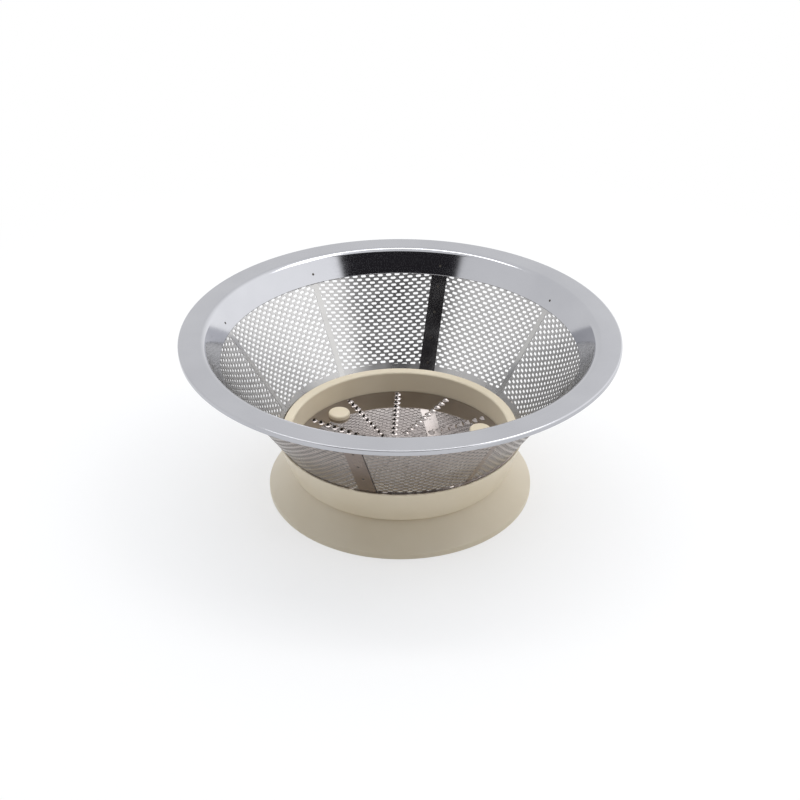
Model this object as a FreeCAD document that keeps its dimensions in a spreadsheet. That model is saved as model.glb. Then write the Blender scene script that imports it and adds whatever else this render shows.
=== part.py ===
"""Strainer basket of a centrifugal juicer: a conical slotted screen on a grater disc.

Millimetres, +Z up. The axis of spin is Z and the foot stands on Z = 0.
Azimuths are in degrees, counted from +X towards +Y.
"""

import FreeCAD
import Part
import Sketcher
import math
import os

SIZES = {
    # Whole basket
    "overall_height": 65.5,
    "cone_angle": 33.4,  # screen wall, from the axis
    "collar_radius": 41,  # bore of the collar at its top
    "collar_top": 24.4,
    "fit_gap": 0.05,  # between sheets and what holds them
    # Steel rim
    "rim_sheet": 0.5,
    "flange_width": 8.96,
    "lip_depth": 1.8,
    "lip_chamfer": 0.35,
    "bend_setback": 1.3,  # of the flat that eases the bend from flange to band
    "band_depth": 8.8,
    "band_overlap": 4.3,
    # Perforated screen
    "mesh_sheet": 0.3,
    "socket_depth": 2.4,
    "seam_azimuth": 76,
    "seam_lap": 6,
    "panel_count": 8,
    "slot_rows": 5,
    "slot_length": 8.4,
    "slot_height": 4.7,
    "slot_bridge": 1.2,  # steel left between two slots of a row
    "row_bridge": 2.3,  # steel left between two rows
    # Moulded base ring
    "collar_land": 3.6,  # from the collar's bore out to the screen
    "collar_draft": 2.5,
    "collar_chamfer": 0.7,
    "lip_rise": 1.0,
    "lip_wall": 0.7,
    "disc_shoulder": 1.1,  # ledge under the disc's edge
    "ring_bottom": 11.2,
    "ring_bottom_wall": 2.3,
    # Grater disc
    "disc_top": 15.9,
    "disc_sheet": 0.6,
    "disc_gap": 0.2,
    "tooth_rows": 12,
    "tooth_azimuth": 27.5,
    "tooth_offset": 2.8,  # a row runs this far beside the axis
    "tooth_margin": 2.4,  # along the row, from the disc's edge to the outermost tooth
    "tooth_bridge": 0.07,  # between the feet of two teeth in a row
    "bare_middle": 8.5,  # along the row, no tooth nearer to the axis
    "tooth_width": 3.2,
    "tooth_height": 1.0,
    "tooth_tip": 1.75,
    "tooth_hole": 1.3,
    # Moulded drive foot
    "foot_radius": 50.1,
    "foot_edge": 2.2,
    "skirt_step": 1.6,  # the skirt's top stands this far inside the ring's lower edge
    "skirt_wall": 2.2,
    "skirt_gap": 0.3,
    "upstand_wall": 2.3,
    "upstand_gap": 0.3,
    "plate_top": 10,
    "plate_thickness": 2.2,
    "hub_radius": 9,
    "hub_bottom": 1,
    "hub_clearance": 1.3,  # from the hub's top up to the disc
    "hub_roof": 2,
    "socket_radius": 6,
    "keyway_count": 3,
    "keyway_width": 2.4,
    "keyway_depth": 1.2,
    "rib_count": 6,
    "rib_thickness": 1.8,
    "rib_height": 3.5,
    "stake_count": 3,
    "stake_azimuth": 17.4,
    "stake_inset": 7.9,  # from the disc's edge to the middle of a stake
    "stake_boss_radius": 4,
    "stake_pin_radius": 2.5,
    "stake_gap": 0.1,
    "stake_head_radius": 4.2,
    "stake_head_height": 1.3,
    "stake_head_round": 0.9,
}

SAME_PLACE = 0.001

doc = FreeCAD.newDocument("juicer_mesh_screen")
sheet = doc.addObject("Spreadsheet::Sheet", "size")
for row, (alias, number) in enumerate(SIZES.items(), start=1):
    sheet.set(f"A{row}", alias)
    sheet.set(f"B{row}", str(number))
    sheet.setAlias(f"B{row}", alias)
doc.recompute()


def value(alias):
    return float(sheet.get(alias))


def cone(height, outward="0"):
    """Formula for the screen cone's inner radius at a height, moved outward square to the sheet."""
    return (
        f"{SCREEN_FOOT_RADIUS} + ({height} - size.collar_top) * tan(size.cone_angle)"
        f" + ({outward}) / cos(size.cone_angle)"
    )


# Heights and radii that several pieces share, as formulas over the sheet
SCREEN_FOOT_RADIUS = "size.collar_radius + size.collar_land"
DISC_UNDERSIDE = "size.disc_top - size.disc_sheet"
BAND_BOTTOM = "size.overall_height - size.band_depth"
SCREEN_TOP = f"{BAND_BOTTOM} + size.band_overlap"
SCREEN_BOTTOM = "size.collar_top - size.socket_depth"
OUTER_LAYER = "size.mesh_sheet + size.fit_gap"
BOTH_LAYERS = f"{OUTER_LAYER} + size.mesh_sheet"
COLLAR_FOOT_RADIUS = (
    f"size.collar_radius - (size.collar_top - ({DISC_UNDERSIDE})) * tan(size.collar_draft)"
)
DISC_RADIUS = f"{COLLAR_FOOT_RADIUS} - size.disc_gap"
STAKE_CIRCLE = f"{DISC_RADIUS} - size.stake_inset"
RING_BORE = f"{COLLAR_FOOT_RADIUS} - size.disc_shoulder"
RING_BOTTOM_RADIUS = f"{RING_BORE} + size.ring_bottom_wall"
UPSTAND_RADIUS = f"{RING_BORE} - size.upstand_gap"
SKIRT_TOP = "size.ring_bottom - size.skirt_gap"
SKIRT_TOP_RADIUS = f"{RING_BOTTOM_RADIUS} - size.skirt_step"
SKIRT_SLOPE = (
    f"atan((size.foot_radius - ({SKIRT_TOP_RADIUS})) / ({SKIRT_TOP} - size.foot_edge))"
)
SKIRT_INSET = f"size.skirt_wall / cos({SKIRT_SLOPE})"
PLATE_UNDERSIDE = "size.plate_top - size.plate_thickness"
HUB_TOP = f"{DISC_UNDERSIDE} - size.hub_clearance"
SOCKET_TOP = f"{HUB_TOP} - size.hub_roof"


def new_body(label):
    body = doc.addObject("PartDesign::Body", label)
    body.Label = label
    return body


def origin_part(body, role):
    """Plane or axis of the body's own origin."""
    return next(part for part in body.Origin.OriginFeatures if part.Role == role)


def new_sketch(body, name, role):
    sketch = body.newObject("Sketcher::SketchObject", name)
    sketch.AttachmentSupport = [(origin_part(body, role), "")]
    sketch.MapMode = "FlatFace"
    return sketch


def add_outline(sketch, corners):
    """Closed run of straight lines whose corners are pairs of formulas over the sheet."""
    count = len(corners)
    first = sketch.GeometryCount
    turn = 2 * math.pi / count
    start = [FreeCAD.Vector(math.cos(turn * k), math.sin(turn * k), 0) for k in range(count)]
    for k in range(count):
        sketch.addGeometry(Part.LineSegment(start[k], start[(k + 1) % count]))
    for k, corner in enumerate(corners):
        line = first + k
        after = first + (k + 1) % count
        sketch.addConstraint(Sketcher.Constraint("Coincident", line, 2, after, 1))
        for kind, place, formula in zip(("DistanceX", "DistanceY"), start[k], corner):
            index = sketch.addConstraint(Sketcher.Constraint(kind, line, 1, place))
            sketch.setExpression(f"Constraints[{index}]", formula)


def revolve(body, name, corners):
    """Solid of revolution about Z from a profile of radius and height."""
    sketch = new_sketch(body, f"{name}_profile", "XZ_Plane")
    add_outline(sketch, corners)
    turned = body.newObject("PartDesign::Revolution", name)
    turned.Profile = sketch
    turned.ReferenceAxis = (sketch, ["V_Axis"])
    turned.Angle = 360
    doc.recompute()
    return turned


def plan_sketch(body, name, height, azimuth="0"):
    """Sketch seen from above at a height, turned about the axis."""
    sketch = new_sketch(body, name, "XY_Plane")
    sketch.AttachmentOffset = FreeCAD.Placement(
        FreeCAD.Vector(0, 0, 0), FreeCAD.Rotation(FreeCAD.Vector(0, 0, 1), 1)
    )
    sketch.setExpression("AttachmentOffset.Base.z", height)
    sketch.setExpression("AttachmentOffset.Rotation.Angle", azimuth)
    return sketch


def pocket_up(body, name, sketch, length):
    """Cut that starts at the sketch and goes upwards, towards +Z."""
    cut = body.newObject("PartDesign::Pocket", name)
    cut.Profile = sketch
    cut.Reversed = True
    cut.setExpression("Length", length)
    doc.recompute()
    return cut


def repeat_round(body, name, features, count, angle="360"):
    """Copies of features about the axis, spread over an angle."""
    pattern = body.newObject("PartDesign::PolarPattern", name)
    pattern.Originals = features
    pattern.Axis = (origin_part(body, "Z_Axis"), [""])
    pattern.setExpression("Angle", angle)
    pattern.setExpression("Occurrences", count)
    body.Tip = pattern
    doc.recompute()
    return pattern


def circle_rings(feature):
    """Radius, height and edge name of each full circle about the axis."""
    rings = []
    for number, edge in enumerate(feature.Shape.Edges, start=1):
        if isinstance(edge.Curve, Part.Circle):
            rings.append((edge.Curve.Radius, edge.Curve.Center.z, f"Edge{number}"))
    return rings


def chamfer(body, name, place, size):
    """Chamfer on the circle about the axis that is nearest to a radius and height."""
    base = body.Tip
    rings = circle_rings(base)
    nearest = min(rings, key=lambda ring: math.hypot(ring[0] - place[0], ring[1] - place[1]))
    feature = body.newObject("PartDesign::Chamfer", name)
    feature.Base = (base, [nearest[2]])
    feature.setExpression("Size", size)
    body.Tip = feature
    doc.recompute()


def add_rectangle(sketch, across, along, width, height):
    """Rectangle about a middle point."""
    left = f"{across} - {width} / 2"
    right = f"{across} + {width} / 2"
    low = f"{along} - {height} / 2"
    high = f"{along} + {height} / 2"
    add_outline(sketch, [(left, low), (right, low), (right, high), (left, high)])


def turn_round(body, azimuth):
    """Turns a finished piece about the axis."""
    body.Placement = FreeCAD.Placement(
        FreeCAD.Vector(0, 0, 0), FreeCAD.Rotation(FreeCAD.Vector(0, 0, 1), 1)
    )
    body.setExpression("Placement.Rotation.Angle", azimuth)
    doc.recompute()


def make_rim_ring():
    """Pressed steel rim: conical band inside the screen, flat flange, turned-down lip."""
    top = "size.overall_height"
    inner = "-size.fit_gap - size.rim_sheet"
    outer = "-size.fit_gap"
    underside = f"{top} - size.rim_sheet"
    lip_bottom = f"{top} - size.lip_depth"
    rim_radius = f"{cone(top, inner)} + size.flange_width"
    lip_inside = f"{rim_radius} - size.rim_sheet"
    body = new_body("rim_ring")
    pressing = revolve(
        body,
        "rim_pressing",
        [
            (cone(BAND_BOTTOM, inner), BAND_BOTTOM),
            (cone(top, inner), top),
            (rim_radius, top),
            (rim_radius, lip_bottom),
            (lip_inside, lip_bottom),
            (lip_inside, underside),
            (cone(underside, outer), underside),
            (cone(BAND_BOTTOM, outer), BAND_BOTTOM),
        ],
    )
    rings = sorted(circle_rings(pressing))
    highest = value("overall_height")
    below = highest - value("rim_sheet")
    on_top = [ring for ring in rings if abs(ring[1] - highest) < SAME_PLACE]
    under = [ring for ring in rings if abs(ring[1] - below) < SAME_PLACE]
    chamfer(body, "outer_bend", on_top[0], "size.bend_setback")
    chamfer(body, "inner_bend", under[0], "size.bend_setback")
    chamfer(body, "lip_bend", on_top[-1], "size.lip_chamfer")
    return body


def slot_places():
    """Row, and place in the row in slot pitches, of each slot that clears the plain margins."""
    rows = int(value("slot_rows"))
    angle = math.radians(value("cone_angle"))
    half_panel = math.pi / value("panel_count")
    pitch = value("slot_length") + value("slot_bridge")
    row_pitch = value("slot_height") + value("row_bridge")
    slant = (value("overall_height") - value("band_depth") - value("collar_top")) / math.cos(angle)
    places = []
    for row in range(rows):
        up = slant / 2 + (row - (rows - 1) / 2) * row_pitch
        radius = value("collar_radius") + value("collar_land") + up * math.sin(angle)
        room = radius * math.sin(half_panel) - value("seam_lap") / 2 - value("slot_length") / 2
        shift = 0.5 * (row % 2)
        most = int(room / pitch + shift) + 1
        steps = [k + shift for k in range(-most, most + 1)]
        places += [(row, step) for step in steps if abs(step) * pitch <= room]
    return places


def add_slots(sketch):
    """Bricks of oblong slots, rows square to the middle line of a panel."""
    pitch = "(size.slot_length + size.slot_bridge)"
    row_pitch = "(size.slot_height + size.row_bridge)"
    middle = f"({BAND_BOTTOM} - size.collar_top) / cos(size.cone_angle) / 2"
    for row, step in slot_places():
        across = f"{step} * {pitch}"
        along = f"{middle} + ({row} - (size.slot_rows - 1) / 2) * {row_pitch}"
        add_rectangle(sketch, across, along, "size.slot_length", "size.slot_height")


def make_mesh_half(label, inner, outer, half_turn):
    """Half cone of slotted sheet, lapping its twin at two seams. One panel faces -Y at first."""
    body = new_body(label)
    revolve(
        body,
        f"{label}_cone",
        [
            (cone(SCREEN_BOTTOM, inner), SCREEN_BOTTOM),
            (cone(SCREEN_BOTTOM, outer), SCREEN_BOTTOM),
            (cone(SCREEN_TOP, outer), SCREEN_TOP),
            (cone(SCREEN_TOP, inner), SCREEN_TOP),
        ],
    )
    beyond = f"{cone(SCREEN_TOP, outer)} + size.seam_lap"
    seam = plan_sketch(body, f"{label}_seam", "0", "90 - 180 / size.panel_count")
    lap = "size.seam_lap / 2"
    add_outline(
        seam,
        [(f"-({beyond})", lap), (beyond, lap), (beyond, beyond), (f"-({beyond})", beyond)],
    )
    pocket_up(body, f"{label}_trim", seam, "size.overall_height")
    flat = new_sketch(body, f"{label}_slot_plan", "XZ_Plane")
    flat.AttachmentOffset = FreeCAD.Placement(
        FreeCAD.Vector(0, 0, 0), FreeCAD.Rotation(FreeCAD.Vector(1, 0, 0), 1)
    )
    flat.setExpression("AttachmentOffset.Base.y", "size.collar_top")
    flat.setExpression("AttachmentOffset.Base.z", cone("size.collar_top", f"{outer} + size.fit_gap"))
    flat.setExpression("AttachmentOffset.Rotation.Angle", "size.cone_angle")
    add_slots(flat)
    slots = body.newObject("PartDesign::Pocket", f"{label}_slots")
    slots.Profile = flat
    bow = f"({cone(SCREEN_TOP, outer)}) * (1 - cos(180 / size.panel_count))"
    slots.setExpression("Length", f"{bow} + 4 * size.mesh_sheet")
    doc.recompute()
    panels = "size.panel_count / 2"
    repeat_round(
        body, f"{label}_panels", [slots], panels, f"({panels} - 1) * 360 / size.panel_count"
    )
    turn_round(body, f"size.seam_azimuth - 90 + 180 / size.panel_count + {half_turn}")
    return body


def make_base_ring():
    """Moulded ring: collar with the groove for the screen, and a shoulder under the disc's edge."""
    lip_top = "size.collar_top + size.lip_rise"
    groove_inside = "-size.fit_gap"
    groove_outside = f"{BOTH_LAYERS} + size.fit_gap"
    body = new_body("base_ring")
    revolve(
        body,
        "ring_moulding",
        [
            (COLLAR_FOOT_RADIUS, DISC_UNDERSIDE),
            ("size.collar_radius", "size.collar_top"),
            (cone("size.collar_top", groove_inside), "size.collar_top"),
            (cone(SCREEN_BOTTOM, groove_inside), SCREEN_BOTTOM),
            (cone(SCREEN_BOTTOM, groove_outside), SCREEN_BOTTOM),
            (cone(lip_top, groove_outside), lip_top),
            (f"{cone(lip_top, groove_outside)} + size.lip_wall", lip_top),
            (RING_BOTTOM_RADIUS, "size.ring_bottom"),
            (RING_BORE, "size.ring_bottom"),
            (RING_BORE, DISC_UNDERSIDE),
        ],
    )
    collar_edge = (value("collar_radius"), value("collar_top"))
    chamfer(body, "collar_edge", collar_edge, "size.collar_chamfer")
    return body


def make_drive_foot():
    """Moulded foot: flared skirt, plate with hub and ribs, pegs formed over the disc."""
    skirt_inside = (
        f"{SKIRT_TOP_RADIUS} + ({SKIRT_TOP} - ({{}})) * tan({SKIRT_SLOPE}) - {SKIRT_INSET}"
    )
    upstand_bore = f"{UPSTAND_RADIUS} - size.upstand_wall"
    body = new_body("drive_foot")
    revolve(
        body,
        "foot_moulding",
        [
            ("size.foot_radius", "0"),
            ("size.foot_radius", "size.foot_edge"),
            (SKIRT_TOP_RADIUS, SKIRT_TOP),
            (UPSTAND_RADIUS, SKIRT_TOP),
            (UPSTAND_RADIUS, DISC_UNDERSIDE),
            (upstand_bore, DISC_UNDERSIDE),
            (upstand_bore, "size.plate_top"),
            ("size.hub_radius", "size.plate_top"),
            ("size.hub_radius", HUB_TOP),
            ("0", HUB_TOP),
            ("0", SOCKET_TOP),
            ("size.socket_radius", SOCKET_TOP),
            ("size.socket_radius", "size.hub_bottom"),
            ("size.hub_radius", "size.hub_bottom"),
            ("size.hub_radius", PLATE_UNDERSIDE),
            (skirt_inside.format(PLATE_UNDERSIDE), PLATE_UNDERSIDE),
            (skirt_inside.format("size.foot_edge"), "size.foot_edge"),
            (skirt_inside.format("size.foot_edge"), "0"),
        ],
    )
    rib_bottom = f"{PLATE_UNDERSIDE} - size.rib_height"
    rib_top = f"{PLATE_UNDERSIDE} + size.plate_thickness / 2"
    into_hub = "(size.hub_radius + size.socket_radius + size.keyway_depth) / 2"
    into_skirt = f"{skirt_inside} + {SKIRT_INSET} / 2"
    rib_plan = new_sketch(body, "rib_profile", "XZ_Plane")
    add_outline(
        rib_plan,
        [
            (into_hub, rib_bottom),
            (into_skirt.format(rib_bottom), rib_bottom),
            (into_skirt.format(rib_top), rib_top),
            (into_hub, rib_top),
        ],
    )
    rib = body.newObject("PartDesign::Pad", "rib")
    rib.Profile = rib_plan
    rib.Midplane = True
    rib.setExpression("Length", "size.rib_thickness")
    doc.recompute()
    repeat_round(body, "ribs", [rib], "size.rib_count")
    keyway_plan = plan_sketch(body, "keyway_plan", "size.hub_bottom")
    reach = "size.socket_radius + size.keyway_depth"
    add_rectangle(keyway_plan, f"({reach}) / 2", "0", reach, "size.keyway_width")
    keyway = pocket_up(body, "keyway", keyway_plan, f"{SOCKET_TOP} - size.hub_bottom")
    repeat_round(body, "keyways", [keyway], "size.keyway_count")
    repeat_round(body, "stakes", [make_stake(body)], "size.stake_count")
    return body


def make_stake(body):
    """Boss under the disc, pin through it, and the head formed over it, turned on their own axis."""
    middle = STAKE_CIRCLE
    head_top = "size.disc_top + size.stake_head_height"
    head_side = f"{head_top} - size.stake_head_round"
    profile = new_sketch(body, "stake_profile", "XZ_Plane")
    profile.AttachmentOffset = FreeCAD.Placement(
        FreeCAD.Vector(0, 0, 0), FreeCAD.Rotation(FreeCAD.Vector(0, 1, 0), 1)
    )
    profile.setExpression("AttachmentOffset.Rotation.Angle", "size.stake_azimuth")
    corners = [
        (middle, "size.plate_top - size.plate_thickness / 2"),
        (f"{middle} + size.stake_boss_radius", "size.plate_top - size.plate_thickness / 2"),
        (f"{middle} + size.stake_boss_radius", DISC_UNDERSIDE),
        (f"{middle} + size.stake_pin_radius", DISC_UNDERSIDE),
        (f"{middle} + size.stake_pin_radius", "size.disc_top"),
        (f"{middle} + size.stake_head_radius", "size.disc_top"),
        (f"{middle} + size.stake_head_radius", head_side),
        (f"{middle} + size.stake_head_radius - size.stake_head_round", head_top),
        (middle, head_top),
    ]
    add_outline(profile, corners)
    axis = profile.addGeometry(
        Part.LineSegment(FreeCAD.Vector(0, 1, 0), FreeCAD.Vector(0, 2, 0)), True
    )
    profile.addConstraint(Sketcher.Constraint("Coincident", axis, 1, 0, 1))
    profile.addConstraint(Sketcher.Constraint("Coincident", axis, 2, len(corners) - 1, 1))
    stake = body.newObject("PartDesign::Revolution", "stake")
    stake.Profile = profile
    stake.ReferenceAxis = (profile, ["Axis0"])
    stake.Angle = 360
    doc.recompute()
    return stake


def square_ring(half, height):
    """Corners of a square about the Z axis, counted counter-clockwise."""
    return [
        FreeCAD.Vector(half, half, height),
        FreeCAD.Vector(-half, half, height),
        FreeCAD.Vector(-half, -half, height),
        FreeCAD.Vector(half, -half, height),
    ]


def loop(corners):
    return Part.makePolygon(corners + corners[:1])


def tooth_placements(disc_radius):
    """Where the teeth stand: straight rows that pass beside the axis, repeated round it."""
    rows = int(value("tooth_rows"))
    reach = disc_radius - value("tooth_margin")
    pitch = value("tooth_width") + value("tooth_bridge")
    count = int((reach - value("bare_middle")) / pitch) + 1
    placements = []
    for row in range(rows):
        azimuth = value("tooth_azimuth") + 360 * row / rows
        turned = FreeCAD.Placement(
            FreeCAD.Vector(0, 0, 0), FreeCAD.Rotation(FreeCAD.Vector(0, 0, 1), azimuth)
        )
        for place in range(count):
            step = FreeCAD.Vector(reach - place * pitch, value("tooth_offset"), 0)
            placements.append(turned.multiply(FreeCAD.Placement(step, FreeCAD.Rotation())))
    return placements


def make_grater_disc():
    """Steel disc whose sharp-edged teeth are drawn up out of the sheet round square holes."""
    top = value("disc_top")
    bottom = top - value("disc_sheet")
    draft = math.tan(math.radians(value("collar_draft")))
    radius = value("collar_radius") - (value("collar_top") - bottom) * draft - value("disc_gap")
    tooth = [
        square_ring(value("tooth_width") / 2, top),
        square_ring(value("tooth_tip") / 2, top + value("tooth_height")),
        square_ring(value("tooth_hole") / 2, bottom),
    ]
    top_loops = [Part.Wire(Part.makeCircle(radius, FreeCAD.Vector(0, 0, top)))]
    bottom_loops = [Part.Wire(Part.makeCircle(radius, FreeCAD.Vector(0, 0, bottom)))]
    walls = [round_wall(radius, FreeCAD.Vector(0, 0, bottom))]
    for placement in tooth_placements(radius):
        foot, tip, hole = [[placement.multVec(corner) for corner in ring] for ring in tooth]
        top_loops.append(loop(foot))
        bottom_loops.append(loop(hole))
        for lower, upper in ((foot, tip), (tip, hole)):
            for k in range(len(lower)):
                after = (k + 1) % len(lower)
                walls.append(Part.Face(loop([lower[k], lower[after], upper[after], upper[k]])))
    stake_hole = value("stake_pin_radius") + value("stake_gap")
    stake_circle = radius - value("stake_inset")
    stakes = int(value("stake_count"))
    for k in range(stakes):
        azimuth = math.radians(value("stake_azimuth") + 360 * k / stakes)
        across = stake_circle * math.cos(azimuth)
        along = stake_circle * math.sin(azimuth)
        top_loops.append(Part.Wire(Part.makeCircle(stake_hole, FreeCAD.Vector(across, along, top))))
        low = FreeCAD.Vector(across, along, bottom)
        bottom_loops.append(Part.Wire(Part.makeCircle(stake_hole, low)))
        walls.append(round_wall(stake_hole, low))
    flats = [Part.makeFace(loops, "Part::FaceMakerBullseye") for loops in (top_loops, bottom_loops)]
    shell = Part.makeShell(flats + walls)
    shell.sewShape()
    solid = Part.makeSolid(shell)
    if solid.Volume < 0:
        solid.reverse()
    disc = doc.addObject("Part::Feature", "grater_disc")
    disc.Shape = solid
    disc.Label = "grater_disc"
    return disc


def round_wall(radius, low):
    """Side of the sheet at a round edge."""
    return Part.makeCylinder(radius, value("disc_sheet"), low).Faces[0]


pieces = [
    make_rim_ring(),
    make_mesh_half("mesh_half_right", "0", "size.mesh_sheet", 0),
    make_mesh_half("mesh_half_left", OUTER_LAYER, BOTH_LAYERS, 180),
    make_base_ring(),
    make_drive_foot(),
    make_grater_disc(),
]
doc.recompute()

for item in doc.Objects:
    if "Invalid" in item.State or "Error" in item.State:
        raise RuntimeError(f"{item.Label} failed: {item.State}")
for piece in pieces:
    if piece.Shape.isNull() or not piece.Shape.isValid():
        raise RuntimeError(f"{piece.Label} has no valid shape")

os.makedirs("parts", exist_ok=True)
for piece in pieces:
    piece.Shape.exportStep(f"parts/{piece.Label}.step")
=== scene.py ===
"""Juicer mesh screen, dressed over its CAD frame: steel rim, slotted screen, cream base, grater disc.

Lengths are in millimetres unless a name or a heading says otherwise, and azimuths in degrees from
+X towards +Y. The axis of spin is Z and the foot stands on Z = 0.
"""

import math

import bmesh
import bpy
from mathutils import Matrix, Vector


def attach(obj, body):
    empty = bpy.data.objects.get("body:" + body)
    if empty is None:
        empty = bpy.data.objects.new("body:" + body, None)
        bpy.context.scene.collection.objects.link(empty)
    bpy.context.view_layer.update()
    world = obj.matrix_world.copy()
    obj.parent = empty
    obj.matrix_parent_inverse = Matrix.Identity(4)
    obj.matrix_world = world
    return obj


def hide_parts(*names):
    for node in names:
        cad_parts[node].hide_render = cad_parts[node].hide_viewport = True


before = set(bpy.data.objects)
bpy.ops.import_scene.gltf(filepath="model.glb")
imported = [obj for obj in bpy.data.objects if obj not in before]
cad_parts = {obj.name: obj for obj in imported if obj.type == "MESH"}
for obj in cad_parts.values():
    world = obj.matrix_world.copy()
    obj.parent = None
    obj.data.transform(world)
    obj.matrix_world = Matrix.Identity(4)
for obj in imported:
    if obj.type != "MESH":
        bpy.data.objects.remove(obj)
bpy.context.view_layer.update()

MM = 0.001
MERGE = 0.002  # points nearer than this are one

# Facets and edges
ROUND_STEPS = 240  # facets round the axis on the large rings
STAKE_STEPS = 48
FACET_ANGLE = math.radians(11)  # one facet of a rounded corner
LEAST_FACETS = 3
SMOOTH_ANGLE = math.radians(32)
FINE_ROUND = 0.2
EDGE_ROUND = 0.3
SOFT_ROUND = 0.5
FILLET = 0.8

# Screen cone, along its inner face
CONE_ANGLE = math.radians(33.4)
SCREEN_FOOT_RADIUS = 44.6
COLLAR_TOP = 24.4
APEX_HEIGHT = COLLAR_TOP - SCREEN_FOOT_RADIUS / math.tan(CONE_ANGLE)
FIT_GAP = 0.05

# Steel rim
RIM_TOP = 65.5
RIM_SHEET = 0.5
RIM_RADIUS = 80.0
LIP_DEPTH = 1.8
LIP_BEND = 0.6
FLANGE_BEND = 2.9
BAND_BOTTOM = 56.7

# Screen sheets
MESH_SHEET = 0.3
SCREEN_BOTTOM = 22.0
SCREEN_TOP = 61.0
SEAM_AZIMUTH = 76.0
SEAM_LAP = 6.0
STRIP_WIDTH = 1.9
PANEL_COUNT = 8
SLOT_PITCH = 3.42
ROW_PITCH = 1.41
SLOT_LENGTH = 2.15
SLOT_HEIGHT = 0.92
STRIP_PROUD = 0.015  # plain strips stand this far above the slotted sheet
STRIP_OVERLAP = 0.15
BORDER_WIDTH = 4.0  # plain border along the screen's top edge
HEM_TOP = 25.95  # height of the hem along the screen's bottom edge
FACE_SQUARE = 0.5  # a face this square to the cone is on its inner or outer side, not an edge

# Spot welds
SEAM_WELD_HEIGHTS = (26.9, 35.4, 44.1, 52.8)
BAND_WELD_HEIGHT = BAND_BOTTOM + 3.0
WELD_SIDES = 12
WELD_RADIUS = 0.5
WELD_DEPTH = 0.1
WELD_SINK = 0.045  # how far the middle of a weld's depth lies below the sheet's face
WELD_RISE = 0.04
WELD_DENT = 0.03

# Moulded base ring
COLLAR_RADIUS = 41.0
COLLAR_FOOT_RADIUS = 40.6
COLLAR_ROUND = 0.8
GROOVE_ROUND = 0.15
LIP_TOP = 25.4
LIP_WALL = 0.7
RING_BOTTOM = 11.2
RING_BOTTOM_RADIUS = 41.8
RING_BORE = 39.5

# Grater disc
DISC_TOP = 15.9
DISC_SHEET = 0.6
DISC_UNDERSIDE = DISC_TOP - DISC_SHEET
DISC_RADIUS = 40.4
DISC_ROUND = 0.12
DISC_RIM = 1.0  # width of the disc's outermost ring of faces
TOOTH_ROWS = 12
TOOTH_COUNT = 10
TOOTH_AZIMUTH = 27.5
TOOTH_OFFSET = 2.8
TOOTH_REACH = 38.0
TOOTH_PITCH = 3.27
TOOTH_SIDES = 8
TOOTH_FOOT = 1.4
TOOTH_SEAT = 0.004
TOOTH_PROFILE = (  # radius, and height over the disc, from the foot over the top to the bore's end
    (TOOTH_FOOT, TOOTH_SEAT),
    (1.25, 0.36),
    (1.1, 0.76),
    (0.97, 1.0),
    (0.88, 0.92),
    (0.86, -0.2),
    (1.2, TOOTH_SEAT - DISC_SHEET),
)
TOOTH_SHAPED = 0.1  # points higher than this lean and slim with the tooth
TOOTH_LEAN_MIDDLE = 0.55  # share of its height that a tooth has halfway round
TOOTH_LEAN = 0.42  # added behind and taken off in front
TOOTH_FORWARD = 0.85  # how far the top of a tooth leans over its opening
TOOTH_CURL = 1.5  # power by which that lean grows with height
TOOTH_BACK = 1.3  # how much longer the foot of a tooth is behind
TOOTH_SLIM = 0.84  # width of a tooth along its row, as a share of its foot
HOLE_PIN_RADIUS = 1.3
HOLE_PIN_LENGTH = 4 * DISC_SHEET
STAKE_HOLE_GAP = 0.1

# Moulded drive foot
FOOT_RADIUS = 50.1
FOOT_EDGE = 2.2
SKIRT_TOP = 10.9
SKIRT_TOP_RADIUS = 40.2
SKIRT_WALL = 2.2
UPSTAND_RADIUS = 39.2
UPSTAND_BORE = 36.9
PLATE_TOP = 10.0
PLATE_UNDERSIDE = 7.8
PLATE_MIDDLE = (PLATE_TOP + PLATE_UNDERSIDE) / 2
PLATE_BITE = 0.3  # ribs and stakes end this far on either side of the plate's middle
HUB_RADIUS = 9.0
HUB_TOP = 14.0
HUB_BOTTOM = 1.0
HUB_ROUND = 0.4
SOCKET_RADIUS = 6.0
SOCKET_TOP = 12.0
KEYWAY_COUNT = 3
KEYWAY_WIDTH = 2.4
KEYWAY_DEPTH = 1.2
KEYWAY_OVERRUN = 1.0  # how far the keyways' cutter sticks out below the hub
KEYWAY_END = 0.2  # how far below the socket's top a keyway ends
RIB_COUNT = 6
RIB_THICKNESS = 1.8
RIB_HEIGHT = 3.5
RIB_BITE = 1.0  # how far a rib reaches into the skirt
STAKE_COUNT = 3
STAKE_AZIMUTH = 17.4
STAKE_CIRCLE = 32.5
STAKE_BOSS_RADIUS = 4.0
STAKE_PIN_RADIUS = 2.5
STAKE_HEAD_RADIUS = 4.2
STAKE_HEAD_TOP = 17.6
STAKE_HEAD_ROUND = 0.8

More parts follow.
